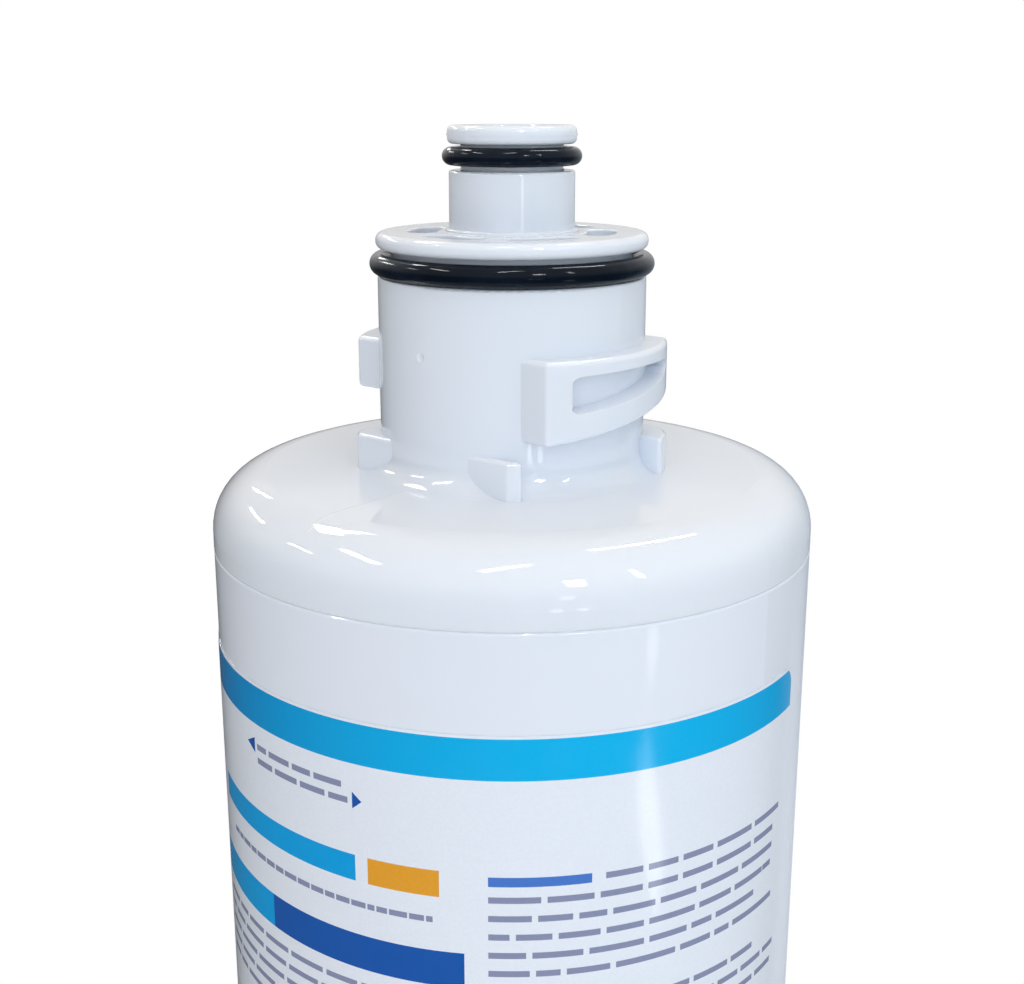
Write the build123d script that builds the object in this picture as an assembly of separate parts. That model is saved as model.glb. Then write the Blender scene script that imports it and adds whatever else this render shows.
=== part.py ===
from build123d import *

import os
from math import hypot, radians, tan

# Bayonet water filter cartridge: a welded polypropylene housing round a carbon block.
# Millimetres, +Z up, origin at the centre of the base, bayonet lugs on +X and -X.
# Water goes in through the slots of the neck flange, down outside the filter element, inwards
# through the wrap and the carbon, and out up the core, the spigot and the bore of the stem.

# Housing, shared by the sump and the cap
body_diameter = 85.0
sump_height = 262.7
wall = 2.8
lap_height = 5.0
lap_clearance = 0.1
seam_chamfer = 0.22
seam_round = 0.25

# Sump, a deep moulded cup that narrows towards its base
sump_draft = 0.23
sump_base_corner = 6.0
base_recess_diameter = 58.0
base_recess_depth = 2.0
base_recess_run = 4.0
base_recess_round = 1.2
floor_thickness = 3.4
locating_ring_height = 7.0
locating_ring_wall = 2.4
locating_ring_foot = 1.0
locating_ring_edge = 0.4
locating_clearance = 0.2

# Cap shoulder and neck
shoulder_height = 10.0
shoulder_corner = 7.5
shoulder_rise = 0.25
neck_diameter = 37.3
neck_height = 27.1
neck_wall = 4.1
neck_foot_fillet = 3.2
moulded_edge = 0.35
groove_round = 0.2

# Neck flange and the seal groove under it
neck_groove_diameter = 33.4
neck_groove_width = 3.7
neck_ring_section = 3.0
neck_ring_lift = 0.15
flange_diameter = 37.7
flange_thickness = 2.2
flange_edge = 0.95
ring_seat_clearance = 0.05

# Inlet slots through the flange, between the webs that carry the stem
slot_count = 6
slot_mid_diameter = 24.8
slot_width = 4.0
web_width = 3.0
slot_edge = 0.3

# Stem, its foot collar, its seal groove and the head above the groove
collar_diameter = 18.4
collar_height = 0.4
collar_round = 0.15
stem_diameter = 17.34
stem_height = 8.3
stem_groove_diameter = 14.1
stem_groove_width = 3.5
stem_ring_section = 2.5
stem_ring_lift = 0.65
head_diameter = 17.74
head_thickness = 2.5
head_edge = 0.75
parting_ridge = 0.1
outlet_diameter = 8.0

# Bayonet lugs
lug_reach = 3.08
lug_width = 27.0
lug_top_above_shoulder = 18.3
lug_thick_end = 11.2
lug_thin_end = 7.2
lug_edge = 0.7
pocket_rim = 1.9
pocket_ledge = 3.4
pocket_end_wall = 2.7
pocket_floor_skin = 0.35
pocket_draft = 5.0

# Keys at the foot of the neck: two thin ones, a wide one and one that slopes back to the neck
key_reach = 3.35
key_height = 5.3
key_edge = 0.5
outer_key_y = 17.3
inner_key_y = 7.0
thin_key = 1.8
wide_key = 5.2
wide_key_corner = 2.6
sloped_key = 6.6
sloped_key_corner = 6.0

# Round moulding mark on the neck, on the parting line
mark_height_above_shoulder = 17.7
mark_diameter = 1.3
mark_depth = 0.25

# Outlet tube inside the cap, with the socket that takes the element's spigot
ceiling_thickness = 2.6
socket_diameter = 16.0
socket_depth = 20.0
tube_wall = 2.0
tube_drop_below_seam = 4.0
socket_lead_in = 0.8

# Filter element
spigot_clearance = 0.25
spigot_end_gap = 2.0
spigot_bore = 7.2
spigot_nose = 3.0
spigot_groove_width = 3.4
spigot_ring_section = 2.4
spigot_lead_in = 0.8
cap_gap = 4.0
end_plate = 4.0
end_rim_height = 8.0
end_rim_wall = 2.0
end_corner = 1.5
end_edge = 0.5
core_guide_length = 7.0
locating_stub_diameter = 24.0
locating_stub_length = 6.0
flow_gap = 2.7
core_diameter = 19.0
wrap_thickness = 1.6
sleeve_thickness = 0.8
layer_clearance = 0.05
rim_clearance = 0.3

# Label, a film stuck round the sump with a gap between its ends
label_film = 0.1
label_glue = 0.25
label_top_below_seam = 12.9
label_height = 215.0
label_end_angle = 11.9
label_span = 320.0
label_corner = 2.7

# Heights up the axis
seam_z = sump_height
shoulder_z = seam_z + shoulder_height
neck_groove_z = shoulder_z + neck_height
flange_z = neck_groove_z + neck_groove_width
flange_top_z = flange_z + flange_thickness
stem_groove_z = flange_top_z + stem_height
head_z = stem_groove_z + stem_groove_width
top_z = head_z + head_thickness
floor_z = base_recess_depth + floor_thickness
mouth_z = seam_z - tube_drop_below_seam
socket_top_z = mouth_z + socket_depth
spigot_top_z = socket_top_z - spigot_end_gap
upper_plate_top_z = mouth_z - cap_gap
block_top_z = upper_plate_top_z - end_plate
lower_plate_z = floor_z + locating_ring_height
block_bottom_z = lower_plate_z + end_plate

# Radii that several pieces share
body_r = body_diameter / 2
neck_r = neck_diameter / 2
lap_r = body_r - wall / 2
lug_r = neck_r + lug_reach
key_r = neck_r + key_reach
socket_r = socket_diameter / 2
tube_r = socket_r + tube_wall
spigot_r = socket_r - spigot_clearance
spigot_groove_r = socket_r - spigot_ring_section - 2 * ring_seat_clearance
core_r = core_diameter / 2
sleeve_outer_r = core_r - layer_clearance
sleeve_inner_r = sleeve_outer_r - sleeve_thickness
core_guide_r = sleeve_inner_r - rim_clearance
locating_stub_r = locating_stub_diameter / 2
locating_ring_inner_r = locating_stub_r + locating_clearance


def sump_r(z):
    """Outside radius of the drafted sump at a height."""
    return body_r - (seam_z - z) * tan(radians(sump_draft))


# The element fills the sump's narrow end up to the gap that the water flows through
end_rim_outer_r = sump_r(lower_plate_z) - wall - flow_gap
end_rim_inner_r = end_rim_outer_r - end_rim_wall
wrap_outer_r = end_rim_inner_r - rim_clearance
wrap_inner_r = wrap_outer_r - wrap_thickness
block_r = wrap_inner_r - layer_clearance


def turned(*corners):
    """Solid of revolution from the (radius, height, rounding) corners of its half section."""
    section = make_face(Polyline(*[(r, z) for r, z, _ in corners], close=True))
    for r, z, rounding in corners:
        if rounding:
            section = fillet(section.vertices().sort_by_distance((r, z))[0], rounding)
    return revolve(Plane.XZ * section, Axis.Z)


def upright(radius, low, high):
    """Cylinder on the axis between two heights."""
    return extrude(Plane.XY.offset(low) * Circle(radius), high - low)


def seal_ring(inner_r, section, low):
    """O-ring on the axis, from its inner radius, its section and its lowest point."""
    section_r = section / 2
    circle = Plane.XZ * Pos(inner_r + section_r, low + section_r) * Circle(section_r)
    return revolve(circle, Axis.Z)


def off_axis(edge, radius):
    """True where the middle of an edge lies outside a radius."""
    middle = edge @ 0.5
    return hypot(middle.X, middle.Y) > radius


def housing_sump():
    """Cup with a recessed base, a ring that centres the element and a rabbet at the rim."""
    base_r = sump_r(0)
    recess_r = base_recess_diameter / 2
    ring_outer_r = locating_ring_inner_r + locating_ring_wall
    lap_outer_r = lap_r + lap_clearance
    lap_z = seam_z - lap_height - lap_clearance
    return turned(
        (0, base_recess_depth, 0),
        (recess_r - base_recess_run, base_recess_depth, base_recess_round),
        (recess_r, 0, base_recess_round),
        (base_r, 0, sump_base_corner),
        (sump_r(seam_z - seam_chamfer), seam_z - seam_chamfer, seam_round),
        (body_r - seam_chamfer, seam_z, 0),
        (lap_outer_r, seam_z, 0),
        (lap_outer_r, lap_z, 0),
        (sump_r(lap_z) - wall, lap_z, 0),
        (sump_r(floor_z) - wall, floor_z, sump_base_corner - wall / 2),
        (ring_outer_r, floor_z, locating_ring_foot),
        (ring_outer_r, lower_plate_z, locating_ring_edge),
        (locating_ring_inner_r, lower_plate_z, locating_ring_edge),
        (locating_ring_inner_r, floor_z, 0),
        (0, floor_z, 0),
    )


def cap_shell():
    """Shoulder, neck, flange, stem and outlet tube as one turned shape."""
    neck_groove_r = neck_groove_diameter / 2
    neck_inner_r = neck_r - neck_wall
    flange_r = flange_diameter / 2
    collar_r = collar_diameter / 2
    stem_r = stem_diameter / 2
    stem_groove_r = stem_groove_diameter / 2
    head_r = head_diameter / 2
    outlet_r = outlet_diameter / 2
    inner_r = body_r - wall
    ceiling_z = flange_top_z - ceiling_thickness
    shoulder_inner_z = shoulder_z - wall
    return turned(
        (inner_r, seam_z - lap_height, 0),
        (lap_r, seam_z - lap_height, moulded_edge),
        (lap_r, seam_z, 0),
        (body_r - seam_chamfer, seam_z, 0),
        (body_r, seam_z + seam_chamfer, seam_round),
        (body_r, shoulder_z, shoulder_corner),
        (neck_r, shoulder_z + shoulder_rise, neck_foot_fillet),
        (neck_r, neck_groove_z, moulded_edge),
        (neck_groove_r, neck_groove_z, groove_round),
        (neck_groove_r, flange_z, groove_round),
        (flange_r, flange_z, flange_edge),
        (flange_r, flange_top_z, flange_edge),
        (collar_r, flange_top_z, collar_round),
        (collar_r, flange_top_z + collar_height, collar_round),
        (stem_r, flange_top_z + collar_height, collar_round),
        (stem_r, stem_groove_z, moulded_edge),
        (stem_groove_r, stem_groove_z, groove_round),
        (stem_groove_r, head_z, groove_round),
        (head_r, head_z, head_edge),
        (head_r, top_z, head_edge),
        (outlet_r, top_z, moulded_edge),
        (outlet_r, socket_top_z, 0),
        (socket_r, socket_top_z, 0),
        (socket_r, mouth_z, socket_lead_in),
        (tube_r, mouth_z, moulded_edge),
        (tube_r, ceiling_z, 0),
        (neck_inner_r, ceiling_z, moulded_edge),
        (neck_inner_r, shoulder_inner_z, neck_foot_fillet),
        (inner_r, shoulder_inner_z, shoulder_corner - wall),
    )


def bayonet_lug():
    """Lug on +X: parallel sides, a level top, a ramp below and a cored pocket in its outer face."""
    half = lug_width / 2
    top = shoulder_z + lug_top_above_shoulder
    root_r = neck_r - moulded_edge
    ramp = (lug_thick_end - lug_thin_end) / lug_width

    def underside(y):
        return top - lug_thick_end + (y + half) * ramp

    corners = ((-half, top), (half, top), (half, underside(half)), (-half, underside(-half)))
    block = extrude(Plane.YZ * make_face(Polyline(*corners, close=True)), lug_r)
    block = block & upright(lug_r, shoulder_z, top)
    block = block - upright(root_r, shoulder_z, top)
    block = fillet(block.edges().filter_by(lambda edge: off_axis(edge, neck_r)), lug_edge)

    end = half - pocket_end_wall
    mouth = (
        (-end, top - pocket_rim),
        (end, top - pocket_rim),
        (end, underside(end) + pocket_ledge),
        (-end, underside(-end) + pocket_ledge),
    )
    mouth_face = make_face(Polyline(*mouth, close=True))
    mouth_face = fillet(mouth_face.vertices(), lug_edge)
    pocket = extrude(Plane.YZ.offset(lug_r) * mouth_face, -lug_r / 2, taper=pocket_draft)
    return block - (pocket - upright(neck_r + pocket_floor_skin, shoulder_z, top))


def neck_key(face_y, thickness, back_corner):
    """Key on +X that stands out of the neck to key_r, from a face towards -Y to a rounded back."""
    low = shoulder_z - wall / 2
    high = shoulder_z + key_height
    plan = Pos(key_r / 2, face_y + thickness / 2) * Rectangle(key_r, thickness) & Circle(key_r)
    front, back = plan.vertices().sort_by(Axis.X)[-2:].sort_by(Axis.Y)
    plan = fillet(back, back_corner)
    plan = fillet(plan.vertices().sort_by_distance(front.center())[0], key_edge)
    key = extrude(Plane.XY.offset(low) * plan, high - low) - upright(neck_r - moulded_edge, low, high)
    rim = key.edges().filter_by(lambda edge: off_axis(edge, neck_r) and (edge @ 0.5).Z > high - key_edge)
    return fillet(rim, key_edge)


def inlet_slots():
    """Kidney slots between the webs of the flange."""
    mid_r = slot_mid_diameter / 2
    pitch = 360 / slot_count
    end_angle = (web_width + slot_width) / 2 / radians(mid_r)
    kidneys = []
    for index in range(slot_count):
        start = index * pitch + end_angle
        arc = CenterArc((0, 0), mid_r, start, pitch - 2 * end_angle)
        kidneys.append(Plane.XY.offset(flange_top_z - 2 * ceiling_thickness) * SlotArc(arc, slot_width))
    return extrude(Sketch() + kidneys, 3 * ceiling_thickness, dir=(0, 0, 1))


def slotted_shell():
    """Turned shape of the cap with its inlet slots, whose upper rims are rounded."""
    slot_inner_r = (slot_mid_diameter - slot_width) / 2
    slot_outer_r = slot_inner_r + slot_width

    def on_rim(edge):
        in_ring = off_axis(edge, slot_inner_r - slot_edge) and not off_axis(edge, slot_outer_r + slot_edge)
        return in_ring and (edge @ 0.5).Z > flange_top_z - slot_edge

    shell = cap_shell() - inlet_slots()
    return fillet(shell.edges().filter_by(GeomType.CIRCLE).filter_by(on_rim), slot_edge)


def moulding_mark():
    """Ball that leaves a shallow round dimple on the neck, facing -Y."""
    ball_r = (mark_depth**2 + (mark_diameter / 2) ** 2) / (2 * mark_depth)
    return Pos(0, -(neck_r + ball_r - mark_depth), shoulder_z + mark_height_above_shoulder) * Sphere(ball_r)


def housing_cap():
    """The cap moulding with its lugs and keys, slotted flange and stem."""
    head_r = head_diameter / 2
    head_mid_z = (head_z + top_z) / 2
    ridge = upright(head_r + parting_ridge, head_mid_z - parting_ridge, head_mid_z + parting_ridge)
    ridge = ridge - upright(head_r - head_edge, head_z, top_z)
    lugs = [Rot(0, 0, turn) * bayonet_lug() for turn in (0, 180)]
    front_key = neck_key(-outer_key_y, thin_key, key_edge)
    left_key = mirror(neck_key(-outer_key_y, wide_key, wide_key_corner), Plane.YZ)
    right_key = neck_key(inner_key_y, sloped_key, sloped_key_corner)
    keys = [front_key, Rot(0, 0, 180) * front_key, left_key, right_key]
    return slotted_shell() + ridge + lugs + keys - moulding_mark()


def upper_end_cap():
    """Cap glued on the block, with a rim outside, a guide in the core and a sealed spigot."""
    bore_r = spigot_bore / 2
    groove_top_z = spigot_top_z - spigot_nose
    groove_z = groove_top_z - spigot_groove_width
    return turned(
        (bore_r, block_top_z - core_guide_length, 0),
        (core_guide_r, block_top_z - core_guide_length, end_edge),
        (core_guide_r, block_top_z, 0),
        (end_rim_inner_r, block_top_z, 0),
        (end_rim_inner_r, block_top_z - end_rim_height, 0),
        (end_rim_outer_r, block_top_z - end_rim_height, end_edge),
        (end_rim_outer_r, upper_plate_top_z, end_corner),
        (spigot_r, upper_plate_top_z, end_corner),
        (spigot_r, groove_z, groove_round),
        (spigot_groove_r, groove_z, groove_round),
        (spigot_groove_r, groove_top_z, groove_round),
        (spigot_r, groove_top_z, groove_round),
        (spigot_r, spigot_top_z, spigot_lead_in),
        (bore_r, spigot_top_z, moulded_edge),
    )


def lower_end_cap():
    """Blind cap glued under the block, with a stub that drops into the sump's ring."""
    return turned(
        (0, block_bottom_z + core_guide_length, 0),
        (core_guide_r, block_bottom_z + core_guide_length, end_edge),
        (core_guide_r, block_bottom_z, 0),
        (end_rim_inner_r, block_bottom_z, 0),
        (end_rim_inner_r, block_bottom_z + end_rim_height, 0),
        (end_rim_outer_r, block_bottom_z + end_rim_height, end_edge),
        (end_rim_outer_r, lower_plate_z, end_corner),
        (locating_stub_r, lower_plate_z, 0),
        (locating_stub_r, lower_plate_z - locating_stub_length, end_edge),
        (0, lower_plate_z - locating_stub_length, 0),
    )


def tube(inner_r, outer_r):
    """Plain tube over the length of the carbon block."""
    return upright(outer_r, block_bottom_z, block_top_z) - upright(inner_r, block_bottom_z, block_top_z)


def label():
    """Film on the drafted wall of the sump, cut out by a stencil with rounded corners."""
    top = seam_z - label_top_below_seam
    bottom = top - label_height
    outside = label_glue + label_film
    skin = []
    for z, lift in ((bottom, label_glue), (top, label_glue), (top, outside), (bottom, outside)):
        skin.append((sump_r(z) + lift, z))
    film = revolve(Plane.XZ * make_face(Polyline(*skin, close=True)), Axis.Z)
    reach = Plane.XZ * Pos(body_r, (bottom + top) / 2) * Rectangle(2 * wall, label_height)
    stencil = revolve(Rot(0, 0, label_end_angle - label_span) * reach, Axis.Z, label_span)
    radial_edges = stencil.edges().filter_by(GeomType.LINE).filter_by(Axis.Z, reverse=True)
    return film & fillet(radial_edges, label_corner)


def neck_o_ring():
    inner_r = neck_groove_diameter / 2 + ring_seat_clearance
    return seal_ring(inner_r, neck_ring_section, neck_groove_z + neck_ring_lift)


def stem_o_ring():
    inner_r = stem_groove_diameter / 2 + ring_seat_clearance
    return seal_ring(inner_r, stem_ring_section, stem_groove_z + stem_ring_lift)


def spigot_o_ring():
    slack = spigot_groove_width - spigot_ring_section
    low = spigot_top_z - spigot_nose - spigot_groove_width + slack / 2
    return seal_ring(spigot_groove_r + ring_seat_clearance, spigot_ring_section, low)


pieces = {
    "housing_sump": housing_sump(),
    "housing_cap": housing_cap(),
    "neck_o_ring": neck_o_ring(),
    "stem_o_ring": stem_o_ring(),
    "label": label(),
    "carbon_block": tube(core_r, block_r),
    "prefilter_wrap": tube(wrap_inner_r, wrap_outer_r),
    "core_sleeve": tube(sleeve_inner_r, sleeve_outer_r),
    "upper_end_cap": upper_end_cap(),
    "lower_end_cap": lower_end_cap(),
    "spigot_o_ring": spigot_o_ring(),
}

os.makedirs("parts", exist_ok=True)
for name, piece in pieces.items():
    export_step(piece, f"parts/{name}.step")
    print(name, "volume", round(piece.volume, 1), "solids", len(piece.solids()))
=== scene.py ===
from math import cos, pi, radians, sin, tan

import bpy
from mathutils import Matrix, Vector


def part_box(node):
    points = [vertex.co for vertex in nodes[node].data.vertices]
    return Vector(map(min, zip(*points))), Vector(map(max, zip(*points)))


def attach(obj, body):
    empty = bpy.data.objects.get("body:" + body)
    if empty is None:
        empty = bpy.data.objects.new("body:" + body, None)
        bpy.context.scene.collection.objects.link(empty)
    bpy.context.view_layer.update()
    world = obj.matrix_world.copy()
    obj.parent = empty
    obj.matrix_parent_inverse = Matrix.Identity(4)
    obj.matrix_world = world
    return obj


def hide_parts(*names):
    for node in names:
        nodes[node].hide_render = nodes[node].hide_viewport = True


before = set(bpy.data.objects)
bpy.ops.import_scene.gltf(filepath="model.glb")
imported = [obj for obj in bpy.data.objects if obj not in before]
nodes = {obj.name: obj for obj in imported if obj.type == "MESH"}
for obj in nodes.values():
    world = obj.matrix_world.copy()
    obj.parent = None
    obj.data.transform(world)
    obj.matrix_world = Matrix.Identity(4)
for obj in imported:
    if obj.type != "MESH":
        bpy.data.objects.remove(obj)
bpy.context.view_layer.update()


# The sump is the long cup of the housing, injection moulded in one shot from white polypropylene.
# A polished mould leaves it glossy, with faint ripples, and handling leaves hairline scuffs and dust.
# It stands on its foot ring, and the cap is welded into its rim.
def add_node(tree, kind, inputs=None, **settings):
    """New node with its settings, and each named input set to a value or linked to a socket."""
    made = tree.nodes.new(kind)
    for name, value in settings.items():
        setattr(made, name, value)
    for name, value in (inputs or {}).items():
        if isinstance(value, bpy.types.NodeSocket):
            tree.links.new(value, made.inputs[name])
        else:
            made.inputs[name].default_value = value
    return made


def figure(tree, operation, *values):
    """Output of a Math node on values or sockets."""
    return add_node(tree, "ShaderNodeMath", dict(enumerate(values)), operation=operation).outputs[0]


def blend_colours(tree, share, first, second):
    """Colour that goes from the first to the second as the share goes from 0 to 1."""
    made = add_node(tree, "ShaderNodeMix", {0: share, 6: first, 7: second}, data_type="RGBA")
    return made.outputs[2]


def fade(tree, value, start, end, low=0.0, high=1.0):
    """Value eased from low at start to high at end."""
    inputs = {"Value": value, "From Min": start, "From Max": end, "To Min": low, "To Max": high}
    return add_node(tree, "ShaderNodeMapRange", inputs, interpolation_type="SMOOTHSTEP").outputs[0]


def noise(tree, place, scale, detail=2.0):
    """Noise value over a place, with a scale in features a metre."""
    inputs = {"Vector": place, "Scale": scale, "Detail": detail}
    return add_node(tree, "ShaderNodeTexNoise", inputs).outputs["Fac"]


def stretched(tree, place, scale, turn):
    """Place stretched along one direction, so that a noise on it makes long streaks."""
    inputs = {"Vector": place, "Scale": scale, "Rotation": turn}
    return add_node(tree, "ShaderNodeMapping", inputs).outputs[0]


def object_place(tree):
    """The piece's own coordinates, in metres."""
    return add_node(tree, "ShaderNodeTexCoord").outputs["Object"]


def new_group(name, inputs, outputs):
    """Shader node group with named sockets, and its inner input and output nodes."""
    tree = bpy.data.node_groups.new(name, "ShaderNodeTree")
    for way, sockets in (("INPUT", inputs), ("OUTPUT", outputs)):
        for socket, kind in sockets.items():
            tree.interface.new_socket(socket, in_out=way, socket_type=f"NodeSocket{kind}")
    return tree, tree.nodes.new("NodeGroupInput").outputs, tree.nodes.new("NodeGroupOutput").inputs


def use_group(tree, group, inputs):
    """Outputs of a group placed in a tree."""
    return add_node(tree, "ShaderNodeGroup", inputs, node_tree=group).outputs


def new_material(name):
    """Material with a Principled shader: its node tree and that shader."""
    made = bpy.data.materials.new(name)
    made.use_nodes = True
    return made, made.node_tree, made.node_tree.nodes["Principled BSDF"]


def finish_shader(tree, shader, colour, roughness, height, bump_depth):
    """Links the patterns that change over the surface to the shader."""
    tree.links.new(colour, shader.inputs["Base Color"])
    tree.links.new(roughness, shader.inputs["Roughness"])
    bump = add_node(tree, "ShaderNodeBump", {"Height": height, "Distance": bump_depth})
    tree.links.new(bump.outputs[0], shader.inputs["Normal"])


def dress(node, material):
    """Gives a CAD node its material."""
    nodes[node].data.materials.clear()
    nodes[node].data.materials.append(material)


def moulded_skin_group():
    """Surface of a moulded plastic: cloudy tone, ripples, hairline scuffs and specks of dust."""
    cloud_scale = 28.0
    hair_streaks = (((90, 700, 40), (0.3, 0.5, 0.9)), ((60, 40, 900), (0.7, 0.2, 2.1)))
    hair_half_width = 0.006
    hair_roughness = 0.1
    hair_height = -0.04
    scuffed_patch_scale = 45.0
    dust_scale = 210.0
    dust_core = 0.012
    dust_edge = 0.03
    dusty_cells_above = 0.95
    dust_cover = 0.5
    dust_brown = (0.3, 0.28, 0.25, 1)
    dust_roughness = 0.4
    dust_height = 0.6
    gloss_scale = 70.0
    gloss_change = 0.015
    ripple_scale = 55.0
    grain_scale = 900.0
    grain_height = 0.03
    tree, given, out = new_group(
        "moulded_skin",
        {"Tone": "Color", "Thick Tone": "Color", "Gloss": "Float", "Ripple": "Float", "Scuffs": "Float"},
        {"Color": "Color", "Roughness": "Float", "Height": "Float"},
    )
    place = object_place(tree)
    cloud = fade(tree, noise(tree, place, cloud_scale), 0.3, 0.7)
    colour = blend_colours(tree, cloud, given["Tone"], given["Thick Tone"])

    hairs = 0.0
    for scale, turn in hair_streaks:
        streaks = noise(tree, stretched(tree, place, scale, turn), 1.0, 1.0)
        off_centre = figure(tree, "ABSOLUTE", figure(tree, "SUBTRACT", streaks, 0.5))
        hair = fade(tree, off_centre, 0.0, hair_half_width, 1.0, 0.0)
        hairs = figure(tree, "MAXIMUM", hairs, hair)
    patches = fade(tree, noise(tree, place, scuffed_patch_scale), 0.52, 0.7)
    hairs = figure(tree, "MULTIPLY", hairs, figure(tree, "MULTIPLY", patches, given["Scuffs"]))

    cells = add_node(tree, "ShaderNodeTexVoronoi", {"Vector": place, "Scale": dust_scale})
    chosen = add_node(tree, "ShaderNodeSeparateColor", {"Color": cells.outputs["Color"]}).outputs[0]
    speck = fade(tree, cells.outputs["Distance"], dust_core, dust_edge, 1.0, 0.0)
    dust = figure(tree, "MULTIPLY", speck, figure(tree, "GREATER_THAN", chosen, dusty_cells_above))
    dust = figure(tree, "MULTIPLY", dust, given["Scuffs"])
    colour = blend_colours(tree, figure(tree, "MULTIPLY", dust, dust_cover), colour, dust_brown)

    dull = fade(tree, noise(tree, place, gloss_scale), 0.3, 0.7)
    rough = figure(tree, "MULTIPLY_ADD", dull, gloss_change, given["Gloss"])
    rough = figure(tree, "MULTIPLY_ADD", hairs, hair_roughness, rough)
    rough = figure(tree, "MULTIPLY_ADD", dust, dust_roughness, rough)
    height = figure(tree, "MULTIPLY", noise(tree, place, ripple_scale, 1.0), given["Ripple"])
    height = figure(tree, "MULTIPLY_ADD", noise(tree, place, grain_scale, 4.0), grain_height, height)
    height = figure(tree, "MULTIPLY_ADD", hairs, hair_height, height)
    height = figure(tree, "MULTIPLY_ADD", dust, dust_height, height)

    tree.links.new(colour, out["Color"])
    tree.links.new(rough, out["Roughness"])
    tree.links.new(height, out["Height"])
    return tree


moulded_skin = moulded_skin_group()
polypropylene_index = 1.49
milky_depth = 0.0015


def moulded_plastic(name, tone, thick_tone, gloss, ripple, scuffs, bump_depth, milky=0.0):
    """Moulded polypropylene with its own tone, gloss and wear, and the share of light that it lets in."""
    made, tree, shader = new_material(name)
    skin = use_group(
        tree,
        moulded_skin,
        {"Tone": tone, "Thick Tone": thick_tone, "Gloss": gloss, "Ripple": ripple, "Scuffs": scuffs},
    )
    shader.inputs["IOR"].default_value = polypropylene_index
    shader.inputs["Subsurface Weight"].default_value = milky
    shader.inputs["Subsurface Radius"].default_value = (1, 1, 1)
    shader.inputs["Subsurface Scale"].default_value = milky_depth
    finish_shader(tree, shader, skin["Color"], skin["Roughness"], skin["Height"], bump_depth)
    return made


# The sump's tone is tinted blue, partly a painted cool cast of the daylight on the white plastic.
sump_plastic = moulded_plastic(
    "sump_plastic",
    tone=(0.79, 0.836, 0.92, 1),
    thick_tone=(0.777, 0.826, 0.914, 1),
    gloss=0.06,
    ripple=1.0,
    scuffs=0.8,
    bump_depth=0.00003,
)
dress("housing_sump", sump_plastic)


# The lower and upper end caps close the carbon block. They are plain satin mouldings of the same
# plastic, glued on its ends, and the upper one carries the spigot that plugs into the housing cap.
element_plastic = moulded_plastic(
    "element_plastic",
    tone=(0.8, 0.82, 0.85, 1),
    thick_tone=(0.77, 0.795, 0.83, 1),
    gloss=0.38,
    ripple=0.5,
    scuffs=0.6,
    bump_depth=0.00004,
)
dress("lower_end_cap", element_plastic)
dress("upper_end_cap", element_plastic)


# The carbon block is activated carbon grains pressed and baked into a thick tube with a binder.
# It is matt black, with grains under a millimetre across, pits between them and a few dull glints; the pits
# are painted darker, painted shade in the hollows.
carbon_grain_scale = 1600.0
carbon_pit_scale = 420.0
carbon_pit_shade = (0.008, 0.008, 0.009, 1)
carbon_grain = (0.05, 0.05, 0.053, 1)
carbon_roughness = 0.85
carbon_glint_roughness = 0.45
carbon_grain_relief = -0.6
carbon_bump_depth = 0.00025
carbon, tree, shader = new_material("pressed_carbon")
place = object_place(tree)
grains = add_node(tree, "ShaderNodeTexVoronoi", {"Vector": place, "Scale": carbon_grain_scale})
grain_shade = add_node(tree, "ShaderNodeSeparateColor", {"Color": grains.outputs["Color"]}).outputs[0]
# The low pits are painted darker than the grains: painted shade.
pits = fade(tree, noise(tree, place, carbon_pit_scale, 3.0), 0.35, 0.6)
carbon_tone_and_pit_shade = figure(tree, "MULTIPLY", grain_shade, pits)
carbon_colour = blend_colours(tree, carbon_tone_and_pit_shade, carbon_pit_shade, carbon_grain)
carbon_gloss = fade(tree, grain_shade, 0.8, 1.0, carbon_roughness, carbon_glint_roughness)
carbon_height = figure(tree, "MULTIPLY_ADD", grains.outputs["Distance"], carbon_grain_relief, pits)
finish_shader(tree, shader, carbon_colour, carbon_gloss, carbon_height, carbon_bump_depth)
dress("carbon_block", carbon)


# The core sleeve inside the block and the prefilter wrap round it are non-woven felt, rolled
# polypropylene fibres in a mat. They are slipped on dry and held by the rims of the end caps.
fibre_lays = (
    ((900, 900, 60), (0.4, 0, 0)),
    ((900, 60, 900), (0, 0.5, 0.3)),
    ((60, 900, 900), (0.2, 0.9, 0)),
)
loft_scale = 160.0
loft_relief = 0.5
felt_shadow = (0.66, 0.66, 0.64, 1)
felt_white = (0.88, 0.88, 0.86, 1)
felt_bump_depth = 0.0003
felt, tree, shader = new_material("non_woven_felt")
place = object_place(tree)
fibres = 0.0
for scale, turn in fibre_lays:
    strands = noise(tree, stretched(tree, place, scale, turn), 1.0, 2.0)
    fibres = figure(tree, "MAXIMUM", fibres, fade(tree, strands, 0.5, 0.72))
loft = noise(tree, place, loft_scale, 3.0)
# The felt is painted darker between the fibres and in the low hollows of its loft: painted shade.
felt_shade = figure(tree, "MULTIPLY", fibres, fade(tree, loft, 0.3, 0.6, 0.5, 1.0))
felt_colour = blend_colours(tree, felt_shade, felt_shadow, felt_white)
felt_gloss = fade(tree, fibres, 0.0, 1.0, 0.95, 0.8)
felt_height = figure(tree, "MULTIPLY_ADD", loft, loft_relief, fibres)
shader.inputs["Sheen Weight"].default_value = 0.25
shader.inputs["Sheen Roughness"].default_value = 0.6
finish_shader(tree, shader, felt_colour, felt_gloss, felt_height, felt_bump_depth)
dress("core_sleeve", felt)
dress("prefilter_wrap", felt)


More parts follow.
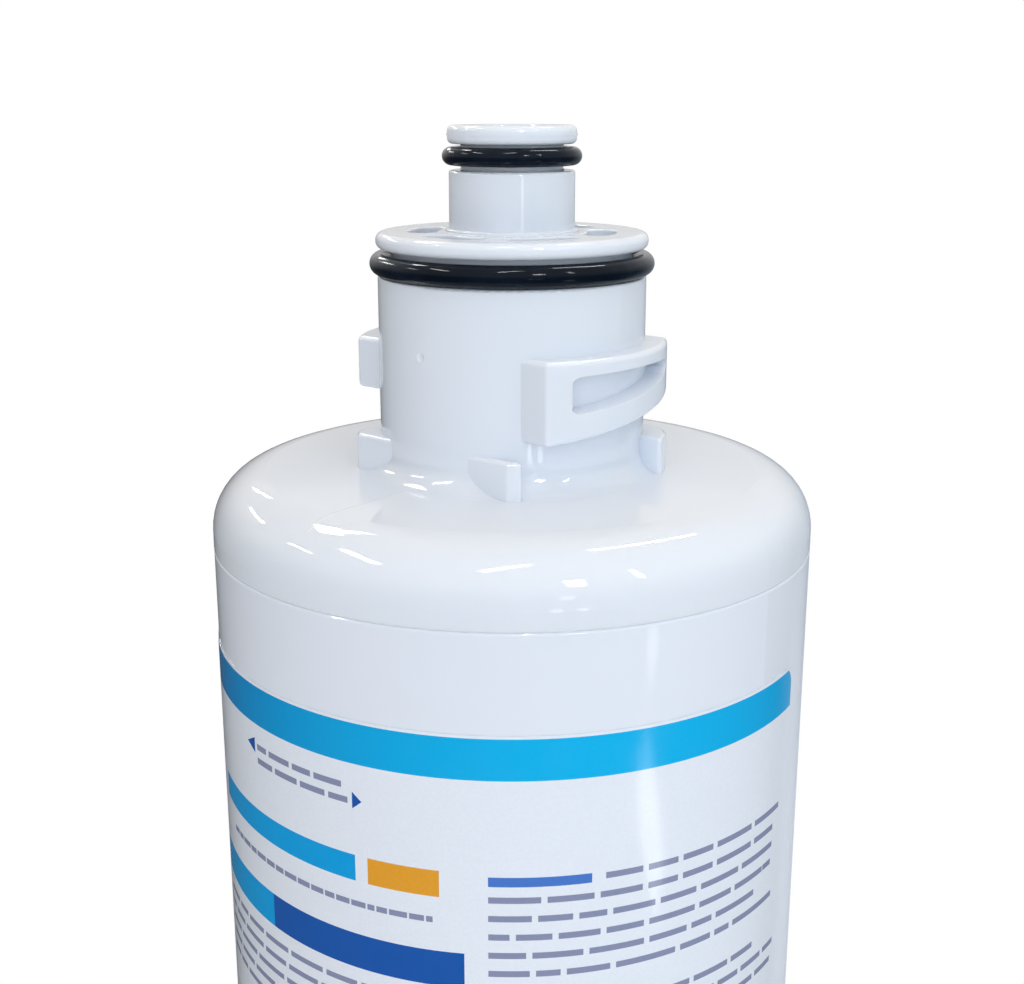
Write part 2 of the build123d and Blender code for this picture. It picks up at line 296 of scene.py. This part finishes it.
# The O-rings are moulded nitrile rubber, blue-black and wet with assembly grease. The smallest seals
# the spigot inside the cap, and the other two sit stretched in the grooves of the stem and the neck.
grease_scale = 140.0
wet_black = (0.003, 0.006, 0.012, 1)
smeared_black = (0.006, 0.011, 0.02, 1)
wet_roughness = 0.06
smeared_roughness = 0.15
rubber_wave_scale = 210.0
rubber_grain_scale = 1500.0
rubber_grain_relief = 0.1
rubber_bump_depth = 0.0001
rubber, tree, shader = new_material("greased_rubber")
place = object_place(tree)
smears = fade(tree, noise(tree, place, grease_scale, 3.0), 0.35, 0.65)
rubber_colour = blend_colours(tree, smears, wet_black, smeared_black)
rubber_gloss = fade(tree, smears, 0.0, 1.0, wet_roughness, smeared_roughness)
rubber_waves = noise(tree, place, rubber_wave_scale, 1.0)
rubber_grain = noise(tree, place, rubber_grain_scale, 3.0)
rubber_height = figure(tree, "MULTIPLY_ADD", rubber_grain, rubber_grain_relief, rubber_waves)
shader.inputs["IOR"].default_value = 1.5
shader.inputs["Specular IOR Level"].default_value = 0.11
finish_shader(tree, shader, rubber_colour, rubber_gloss, rubber_height, rubber_bump_depth)
for ring in ("spigot_o_ring", "neck_o_ring", "stem_o_ring"):
    dress(ring, rubber)


# The cap is one moulding: shoulder, neck with its bayonet lugs and keys, slotted flange and stem.
# It is the same glossy plastic as the sump, and its skirt is welded in the sump's rim.
# Its tone is a shade darker than the sump's, painted shade for the dimmer neck and lugs, and tinted blue,
# partly a painted cool cast of the daylight.
cap_plastic = moulded_plastic(
    "cap_plastic",
    tone=(0.782, 0.83, 0.905, 1),
    thick_tone=(0.772, 0.822, 0.9, 1),
    gloss=0.03,
    ripple=1.2,
    scuffs=1.0,
    bump_depth=0.00003,
    milky=0.35,
)
dress("housing_cap", cap_plastic)

# The mould's halves met in the plane across the lugs, which leaves a fine raised line on the shoulder
# Its lighter colour is a painted highlight along the crest; like the raised bump, it shows only over the top
# of the shoulder, outside the neck's foot.
parting_half_width = 0.0002
parting_height = 1.8
parting_painted_highlight = (0.86, 0.9, 0.955, 1)
neck_foot_radius = 0.0215
seam_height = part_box("housing_sump")[1].z
shoulder_height = seam_height + 0.01
parting_end = shoulder_height - 0.0017
parting_full = shoulder_height - 0.0009
tree = cap_plastic.node_tree
axes = add_node(tree, "ShaderNodeSeparateXYZ", {"Vector": object_place(tree)}).outputs
off_plane = figure(tree, "ABSOLUTE", axes["X"])
parting = fade(tree, off_plane, parting_half_width / 2, parting_half_width, 1.0, 0.0)
outside_neck = figure(tree, "GREATER_THAN", figure(tree, "ABSOLUTE", axes["Y"]), neck_foot_radius)
parting = figure(tree, "MULTIPLY", parting, outside_neck)
parting = figure(tree, "MULTIPLY", parting, fade(tree, axes["Z"], parting_end, parting_full))
cap_shader = tree.nodes["Principled BSDF"]
cap_bump = tree.nodes["Bump"]
skin_colour = cap_shader.inputs["Base Color"].links[0].from_socket
skin_height = cap_bump.inputs["Height"].links[0].from_socket
# The crest is painted lighter than the plastic: a painted highlight.
cap_colour = blend_colours(tree, parting, skin_colour, parting_painted_highlight)
cap_height = figure(tree, "MULTIPLY_ADD", parting, parting_height, skin_height)
tree.links.new(cap_colour, cap_shader.inputs["Base Color"])
tree.links.new(cap_height, cap_bump.inputs["Height"])


# The label is a white film, printed in blues, laminated clear and die cut with rounded corners.
# It is rolled on round the sump and held by its own glue, with a gap between its two ends.
film_thickness = 0.0001
film_lift = 0.00001
film_corner = 0.0027
film_corner_steps = 10
film_right_end = radians(11.9)
film_span = radians(320)
film_columns = 320
film_crease = radians(40)
sump_draft = radians(0.23)
body_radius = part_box("housing_sump")[1].x
film_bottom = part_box("label")[0].z
film_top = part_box("label")[1].z
film_height = film_top - film_bottom
film_length = film_span * body_radius
film_middle = film_right_end - film_span / 2

bpy.ops.object.select_all(action="DESELECT")
bpy.ops.mesh.primitive_plane_add(size=1)
label_film = bpy.context.object
label_film.name = "label_film"
bpy.ops.object.mode_set(mode="EDIT")
bpy.ops.transform.resize(value=(film_length, film_height, 1))
bpy.ops.mesh.bevel(offset=film_corner, segments=film_corner_steps, affect="VERTICES")
for column in range(1, film_columns):
    bpy.ops.mesh.select_all(action="SELECT")
    cut = (column / film_columns - 0.5) * film_length
    bpy.ops.mesh.bisect(plane_co=(cut, 0, 0), plane_no=(1, 0, 0))
bpy.ops.object.mode_set(mode="OBJECT")
for vertex in label_film.data.vertices:
    turn = film_middle + vertex.co.x / body_radius
    z = film_bottom + film_height / 2 + vertex.co.y
    wall_r = body_radius - (seam_height - z) * tan(sump_draft) + film_lift
    vertex.co = (wall_r * cos(turn), wall_r * sin(turn), z)
solidify = label_film.modifiers.new("film", "SOLIDIFY")
solidify.thickness = film_thickness
solidify.offset = 1
bpy.ops.object.modifier_apply(modifier=solidify.name)
bpy.ops.object.shade_smooth_by_angle(angle=film_crease)

# Print, in millimetres along the film from its left end and down from its top edge
# The paper white is tinted blue, partly a painted cool cast of the daylight.
paper_white = (0.81, 0.862, 0.945, 1)
sky_blue = (0.003, 0.36, 0.78, 1)
# The band's blue is painted lighter at the front, where the light falls, and deeper towards its ends:
# painted light and shade over the printed blue.
band_lit_blue = (0.003, 0.47, 0.87, 1)
band_shaded_blue = (0.002, 0.17, 0.5, 1)
band_lit_place = 203.0
band_reach = 90.0
deep_blue = (0.012, 0.1, 0.42, 1)
slate = (0.26, 0.29, 0.44, 1)
heading_blue = (0.07, 0.2, 0.62, 1)
amber = (0.8, 0.36, 0.03, 1)
film_mm = film_length * 1000
band_edge = 0.4
band_width = 5.45
bottom_edge = film_height * 1000 - band_edge

# Left, right, top, bottom and colour, which is the band's blue with its painted light and shade where none
# is given
printed_fields = (
    (-1, film_mm + 1, band_edge, band_edge + band_width, None),
    (-1, film_mm + 1, bottom_edge - band_width, bottom_edge, None),
    (136.5, 155.4, 29.4, 34.3, sky_blue),
    (155.4, 185.5, 29.4, 34.3, deep_blue),
    (139.0, 171.0, 18.3, 21.9, sky_blue),
    (172.8, 182.4, 18.3, 21.9, amber),
    (188.5, 201.4, 18.7, 20.0, heading_blue),
    (12.0, 26.0, 18.7, 20.0, heading_blue),
    (72.0, 88.0, 18.7, 20.0, heading_blue),
)
# Tip, base, middle, half height and colour
printed_arrows = (
    (150.2, 152.3, 9.0, 1.1, deep_blue),
    (172.2, 170.8, 10.8, 1.15, deep_blue),
)
# Left, right, top, number of lines, pitch, height of a line, length of a word
printed_lines = (
    (152.9, 170.9, 8.6, 2, 1.95, 0.85, 5.0),
    (143.0, 182.4, 24.7, 1, 2.0, 0.8, 2.2),
    (138.0, 184.0, 36.3, 5, 2.3, 0.8, 5.5),
    (203.2, 235.4, 18.85, 1, 2.55, 0.85, 6.5),
    (188.5, 235.4, 21.4, 5, 2.55, 0.85, 6.5),
    (188.5, 235.4, 37.05, 6, 2.55, 0.85, 6.0),
    (12.0, 58.0, 21.4, 8, 2.55, 0.85, 6.5),
    (72.0, 118.0, 21.4, 8, 2.55, 0.85, 6.0),
)


def printed_field_group():
    """Mask of a rectangle of ink."""
    sides = ("Along", "Down", "Left", "Right", "Top", "Bottom")
    tree, given, out = new_group("printed_field", {side: "Float" for side in sides}, {"Mask": "Float"})
    across = figure(
        tree,
        "MULTIPLY",
        figure(tree, "GREATER_THAN", given["Along"], given["Left"]),
        figure(tree, "LESS_THAN", given["Along"], given["Right"]),
    )
    between = figure(
        tree,
        "MULTIPLY",
        figure(tree, "GREATER_THAN", given["Down"], given["Top"]),
        figure(tree, "LESS_THAN", given["Down"], given["Bottom"]),
    )
    tree.links.new(figure(tree, "MULTIPLY", across, between), out["Mask"])
    return tree


def printed_arrow_group():
    """Mask of a triangle of ink that points along the film."""
    sizes = ("Along", "Down", "Tip", "Base", "Middle", "Half")
    tree, given, out = new_group("printed_arrow", {size: "Float" for size in sizes}, {"Mask": "Float"})
    length = figure(tree, "SUBTRACT", given["Base"], given["Tip"])
    share = figure(tree, "DIVIDE", figure(tree, "SUBTRACT", given["Along"], given["Tip"]), length)
    off_middle = figure(tree, "ABSOLUTE", figure(tree, "SUBTRACT", given["Down"], given["Middle"]))
    inside = figure(tree, "LESS_THAN", off_middle, figure(tree, "MULTIPLY", share, given["Half"]))
    tree.links.new(figure(tree, "MULTIPLY", inside, figure(tree, "LESS_THAN", share, 1.0)), out["Mask"])
    return tree


def printed_lines_group():
    """Mask of plain bars in rows, broken like words, with a ragged right side and no slivers at the ends."""
    ragged_share = 0.16
    row_shift = 7.31
    half_gap = 0.06
    end_share = 0.35
    sizes = ("Along", "Down", "Left", "Right", "Top", "Lines", "Pitch", "Thick", "Word")
    tree, given, out = new_group("printed_lines", {size: "Float" for size in sizes}, {"Mask": "Float"})
    rows = figure(tree, "DIVIDE", figure(tree, "SUBTRACT", given["Down"], given["Top"]), given["Pitch"])
    row = figure(tree, "FLOOR", rows)
    within = figure(tree, "MULTIPLY", figure(tree, "FRACT", rows), given["Pitch"])
    mask = figure(tree, "LESS_THAN", within, given["Thick"])
    mask = figure(tree, "MULTIPLY", mask, figure(tree, "GREATER_THAN", row, -0.5))
    last_row = figure(tree, "SUBTRACT", given["Lines"], 0.5)
    mask = figure(tree, "MULTIPLY", mask, figure(tree, "LESS_THAN", row, last_row))
    seed = figure(tree, "ADD", row, given["Top"])
    chance = add_node(tree, "ShaderNodeTexWhiteNoise", {"W": seed}, noise_dimensions="1D")
    span = figure(tree, "SUBTRACT", given["Right"], given["Left"])
    short = figure(tree, "MULTIPLY", chance.outputs["Value"], span)
    short = figure(tree, "MULTIPLY", short, ragged_share)
    mask = figure(tree, "MULTIPLY", mask, figure(tree, "GREATER_THAN", given["Along"], given["Left"]))
    ragged = figure(tree, "SUBTRACT", given["Right"], short)
    mask = figure(tree, "MULTIPLY", mask, figure(tree, "LESS_THAN", given["Along"], ragged))
    reading = figure(tree, "DIVIDE", given["Along"], given["Word"])
    reading = figure(tree, "MULTIPLY_ADD", row, row_shift, reading)
    words = add_node(
        tree,
        "ShaderNodeTexVoronoi",
        {"W": reading, "Scale": 1.0},
        voronoi_dimensions="1D",
        feature="DISTANCE_TO_EDGE",
    )
    between_gaps = figure(tree, "GREATER_THAN", words.outputs["Distance"], half_gap)
    from_left = figure(tree, "SUBTRACT", given["Along"], given["Left"])
    from_end = figure(tree, "MINIMUM", from_left, figure(tree, "SUBTRACT", ragged, given["Along"]))
    end_bar = figure(tree, "LESS_THAN", from_end, figure(tree, "MULTIPLY", given["Word"], end_share))
    mask = figure(tree, "MULTIPLY", mask, figure(tree, "MAXIMUM", between_gaps, end_bar))
    tree.links.new(mask, out["Mask"])
    return tree


printed_field = printed_field_group()
printed_arrow = printed_arrow_group()
printed_bars = printed_lines_group()

label_print, tree, shader = new_material("laminated_label")
place = object_place(tree)
turned = add_node(tree, "ShaderNodeMapping", {"Vector": place, "Rotation": (0, 0, -film_middle)})
axes = add_node(tree, "ShaderNodeSeparateXYZ", {"Vector": turned.outputs[0]}).outputs
angle = figure(tree, "ARCTAN2", axes["Y"], axes["X"])
along = figure(tree, "MULTIPLY_ADD", angle, body_radius * 1000, film_mm / 2)
down = figure(tree, "MULTIPLY_ADD", axes["Z"], -1000.0, film_top * 1000)
# Painted light and shade: the band is lightest where the light falls on its front.
off_lit_place = figure(tree, "ABSOLUTE", figure(tree, "SUBTRACT", along, band_lit_place))
band_painted_light_blue = blend_colours(tree, fade(tree, off_lit_place, 0.0, band_reach), band_lit_blue, band_shaded_blue)
ink = paper_white
ink_cover = 0.0
for left, right, top, bottom, colour in printed_fields:
    sides = {"Along": along, "Down": down, "Left": left, "Right": right, "Top": top, "Bottom": bottom}
    mask = use_group(tree, printed_field, sides)["Mask"]
    ink = blend_colours(tree, mask, ink, colour or band_painted_light_blue)
    ink_cover = figure(tree, "MAXIMUM", ink_cover, mask)
for tip, base, middle, half, colour in printed_arrows:
    sizes = {"Along": along, "Down": down, "Tip": tip, "Base": base, "Middle": middle, "Half": half}
    ink = blend_colours(tree, use_group(tree, printed_arrow, sizes)["Mask"], ink, colour)
for left, right, top, lines, pitch, thick, word in printed_lines:
    sizes = {"Along": along, "Down": down, "Left": left, "Right": right, "Top": top}
    sizes |= {"Lines": lines, "Pitch": pitch, "Thick": thick, "Word": word}
    mask = use_group(tree, printed_bars, sizes)["Mask"]
    ink = blend_colours(tree, mask, ink, slate)
screen_scale = 2600.0
screen_pale = 0.975
peel_scale = 1500.0
peel_relief = 0.35
wave_scale = 120.0
haze_scale = 300.0
ink_roughness = 0.02
film_bump_depth = 0.00003
screen = fade(tree, noise(tree, place, screen_scale, 2.0), 0.35, 0.65, screen_pale, 1.0)
ink = add_node(tree, "ShaderNodeVectorMath", {0: ink, "Scale": screen}, operation="SCALE").outputs[0]
peel = noise(tree, place, peel_scale, 2.0)
film_relief = figure(tree, "MULTIPLY_ADD", peel, peel_relief, noise(tree, place, wave_scale, 1.0))
film_gloss = fade(tree, noise(tree, place, haze_scale), 0.3, 0.7, 0.1, 0.15)
film_gloss = figure(tree, "MULTIPLY_ADD", ink_cover, ink_roughness, film_gloss)
shader.inputs["IOR"].default_value = polypropylene_index
finish_shader(tree, shader, ink, film_gloss, film_relief, film_bump_depth)
label_film.data.materials.append(label_print)
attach(label_film, "root")
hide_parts("label")


# The floor is a plain sheet of pale matt paper, on which the cartridge stands by its foot ring.
# It takes the cartridge's shadow and runs out to clean white.
floor_reach = 4.0
floor_paper = (0.87, 0.88, 0.9, 1)
floor_roughness = 0.9
shade_reach = 0.11
white_reach = 0.27
bpy.ops.object.select_all(action="DESELECT")
bpy.ops.mesh.primitive_circle_add(vertices=96, radius=floor_reach, fill_type="NGON")
floor = bpy.context.object
floor.name = "floor"


def seen_directly(tree):
    """1 for rays of the camera and for what gloss and glass show, 0 for light that bounces."""
    rays = add_node(tree, "ShaderNodeLightPath").outputs
    sharp = figure(tree, "MAXIMUM", rays["Is Glossy Ray"], rays["Is Transmission Ray"])
    return figure(tree, "MAXIMUM", rays["Is Camera Ray"], sharp)


def from_foot(tree):
    """Distance from the middle of the foot ring."""
    made = add_node(tree, "ShaderNodeVectorMath", {0: object_place(tree)}, operation="LENGTH")
    return made.outputs["Value"]


floor_white, tree, shader = new_material("floor_white")
far = fade(tree, from_foot(tree), shade_reach, white_reach)
far = figure(tree, "MULTIPLY", far, seen_directly(tree))
shader.inputs["Base Color"].default_value = floor_paper
shader.inputs["Roughness"].default_value = floor_roughness
shader.inputs["Specular IOR Level"].default_value = 0.0
white = add_node(tree, "ShaderNodeEmission", {"Color": (1, 1, 1, 1), "Strength": 1.0})
surface = add_node(tree, "ShaderNodeMixShader", {0: far, 1: shader.outputs[0], 2: white.outputs[0]})
tree.links.new(surface.outputs[0], tree.nodes["Material Output"].inputs["Surface"])
floor.data.materials.append(floor_white)


# A low grey card stands all round the cartridge on a skirt, out of the camera's sight. Only its
# reflection is seen: it draws the edges of the white plastic, as a photographer's flags do, and
# fades out to white at the top and to the floor's tone at the skirt's inner edge.
# The card's greys are its own emitted light, not lit paint, and set how bright those reflections are.
camera_azimuth = radians(40)
card_distance = 0.31
card_top = 0.36
card_lift = 0.0005
skirt_inner = 0.1
skirt_dark = 0.24
skirt_pale = (0.84, 0.85, 0.87, 1)
card_dark = (0.06, 0.065, 0.075, 1)
card_white = (1, 1, 1, 1)
card_fade_start = 0.245
card_fade_tilt = 0.025
card_fade_end = 0.4
patch_aside = radians(36)
patch_core = radians(8)
patch_edge = radians(32)
patch_low = 0.05
patch_high = 0.2
patch_low_grey = (0.55, 0.61, 0.69, 1)
patch_high_grey = (0.32, 0.37, 0.44, 1)


def toward(right, up):
    """Unit direction so many degrees right of the camera's side of the object, and up."""
    turn = camera_azimuth + radians(right)
    level = cos(radians(up))
    return Vector((level * sin(turn), -level * cos(turn), sin(radians(up))))


bpy.ops.object.select_all(action="DESELECT")
bpy.ops.mesh.primitive_cylinder_add(
    vertices=128, radius=card_distance, depth=card_top, end_fill_type="NOTHING"
)
card = bpy.context.object
card.name = "card"
bpy.ops.object.mode_set(mode="EDIT")
bpy.ops.transform.translate(value=(0, 0, card_top / 2 + card_lift))
bpy.ops.mesh.select_all(action="DESELECT")
bpy.ops.mesh.select_mode(type="EDGE")
bpy.ops.object.mode_set(mode="OBJECT")
for edge in card.data.edges:
    ends = [card.data.vertices[end].co.z for end in edge.vertices]
    edge.select = max(ends) < card_top / 2
bpy.ops.object.mode_set(mode="EDIT")
bpy.ops.mesh.extrude_edges_move()
skirt_share = skirt_inner / card_distance
bpy.ops.transform.resize(value=(skirt_share, skirt_share, 1), center_override=(0, 0, 0))
bpy.ops.object.mode_set(mode="OBJECT")

card_grey, tree, shader = new_material("card_grey")
behind = {"Vector": object_place(tree), "Rotation": (0, 0, -camera_azimuth - pi / 2)}
turned = add_node(tree, "ShaderNodeMapping", behind)
axes = add_node(tree, "ShaderNodeSeparateXYZ", {"Vector": turned.outputs[0]}).outputs
aside = figure(tree, "ARCTAN2", axes["Y"], axes["X"])
off_patch = figure(tree, "ABSOLUTE", figure(tree, "ADD", aside, patch_aside))
patch_rise = fade(tree, axes["Z"], patch_low, patch_high)
patch = blend_colours(tree, patch_rise, patch_low_grey, patch_high_grey)
grey = blend_colours(tree, fade(tree, off_patch, patch_core, patch_edge), patch, card_dark)
grey = blend_colours(tree, fade(tree, from_foot(tree), skirt_inner, skirt_dark), skirt_pale, grey)
fade_start = figure(tree, "MULTIPLY_ADD", axes["X"], -card_fade_tilt / card_distance, card_fade_start)
faded = fade(tree, axes["Z"], fade_start, card_fade_end)
card_tone = blend_colours(tree, faded, grey, card_white)
glow = add_node(tree, "ShaderNodeEmission", {"Color": card_tone, "Strength": 1.0})
tree.links.new(glow.outputs[0], tree.nodes["Material Output"].inputs["Surface"])
card.data.materials.append(card_grey)
card.visible_camera = False
card.visible_diffuse = False
card.visible_shadow = False


# The studio light is three broad soft lamps that only shade, and narrow tubes and panes that only
# glint. The world adds a warm even fill and the white backdrop. No lamp is in the camera's sight.
shoulder = Vector((0, 0, seam_height))


def area_lamp(name, middle, along_side, length, width, radiance, colour, glints):
    """Rectangular lamp that faces the shoulder, with its long side along a direction."""
    data = bpy.data.lights.new(name, "AREA")
    data.shape = "RECTANGLE"
    data.size = length
    data.size_y = width
    data.energy = radiance * pi * length * width
    data.color = colour
    made = bpy.data.objects.new(name, data)
    bpy.context.scene.collection.objects.link(made)
    back = (middle - shoulder).normalized()
    side = (along_side - along_side.dot(back) * back).normalized()
    facing = Matrix((side, back.cross(side), back)).transposed().to_4x4()
    made.matrix_world = Matrix.Translation(middle) @ facing
    made.visible_camera = False
    made.visible_glossy = glints
    made.visible_diffuse = not glints


daylight = (0.92, 1.0, 1.1)
lamp_warm = (1.12, 1.0, 0.88)
sky = (0.48, 0.82, 1.0)
lamp_white = (1.0, 1.0, 1.0)
# Degrees right of the camera's side and up, distance, length, width, radiance and colour
soft_lamps = (
    ("window", 6, 20, 2.0, 2.2, 1.8, 1.38, daylight),
    ("skylight", 65, 10, 2.0, 1.6, 1.6, 0.42, sky),
    ("ceiling", 60, 82, 2.0, 2.4, 2.4, 1.1, lamp_warm),
)
for name, right, up, distance, length, width, radiance, colour in soft_lamps:
    middle = shoulder + toward(right, up) * distance
    area_lamp(name, middle, toward(right + 90, 0), length, width, radiance, colour, False)

# Each tube from one direction to another, its distance, its width in degrees and its radiance
tubes = (
    ("tube_right", (116.4, 73.2), (129.0, 49.3), 2.5, 2.4, 60.0),
    ("tube_front", (-15, 55.1), (13.6, 69.1), 2.5, 2.6, 60.0),
    ("tube_left", (-92, 49.1), (-63, 45.3), 2.5, 2.6, 60.0),
    ("tube_back_left", (-147, 44), (-130, 49.9), 2.5, 5.2, 40.0),
    ("tube_back_tail", (-142.5, 49.3), (-153, 49.3), 2.5, 2.6, 40.0),
    ("tube_low_left", (-102, 31), (-88.5, 32.3), 2.5, 1.2, 60.0),
    ("tube_far_left", (-140.3, 22.1), (-126.3, 27.8), 2.5, 1.4, 60.0),
    ("tube_low_back", (-157.3, 18.2), (-160.1, 23.1), 2.5, 1.6, 60.0),
    ("lantern", (21, 30), (27.5, 30.4), 2.5, 10.0, 40.0),
    ("lantern_side", (51, 41), (50, 26), 2.5, 1.5, 60.0),
    ("low_window", (44.5, -25.5), (53.2, -33.1), 0.29, 5.0, 3.2),
    ("sump_window", (49.8, -18.4), (46.9, -20.9), 0.29, 3.0, 2.0),
    ("stem_tube", (18.2, 2.5), (18.2, 8.0), 0.29, 4.0, 3.0),
    ("pane_left", (14.7, -11.5), (14.7, -8.5), 0.29, 4.0, 3.5),
    ("pane_right", (23.2, -11.5), (23.2, -8.5), 0.29, 4.0, 3.5),
)
for name, start, end, distance, width, radiance in tubes:
    first = toward(*start) * distance
    last = toward(*end) * distance
    area_lamp(
        name,
        shoulder + (first + last) / 2,
        last - first,
        (last - first).length,
        radians(width) * distance,
        radiance,
        lamp_white,
        True,
    )

fill_colour = (1.0, 0.985, 0.955, 1)
fill_strength = 0.44
world = bpy.data.worlds.new("studio")
bpy.context.scene.world = world
world.use_nodes = True
tree = world.node_tree
ambient = tree.nodes["Background"]
ambient.inputs["Color"].default_value = fill_colour
ambient.inputs["Strength"].default_value = fill_strength
backdrop = add_node(tree, "ShaderNodeBackground", {"Color": (1, 1, 1, 1), "Strength": 1.0})
both = add_node(
    tree, "ShaderNodeMixShader", {0: seen_directly(tree), 1: ambient.outputs[0], 2: backdrop.outputs[0]}
)
tree.links.new(both.outputs[0], tree.nodes["World Output"].inputs["Surface"])
bpy.context.scene.view_settings.view_transform = "Standard"


# The camera stands level with the stem's head, close to the cartridge, and looks a little down on
# the shoulder. Its small shift puts the cartridge where the photograph has it.
camera_distance = 0.2
camera_above_seam = 0.06035
camera_pitch = 13.885
camera_lens = 50.42
camera_shift = -0.035
camera_near = 0.01
bpy.ops.object.camera_add()
camera = bpy.context.object
camera.location = toward(0, 0) * camera_distance + Vector((0, 0, seam_height + camera_above_seam))
camera.rotation_euler = (radians(90 - camera_pitch), 0, camera_azimuth)
camera.data.lens = camera_lens
camera.data.shift_y = camera_shift
camera.data.clip_start = camera_near
bpy.context.scene.camera = camera
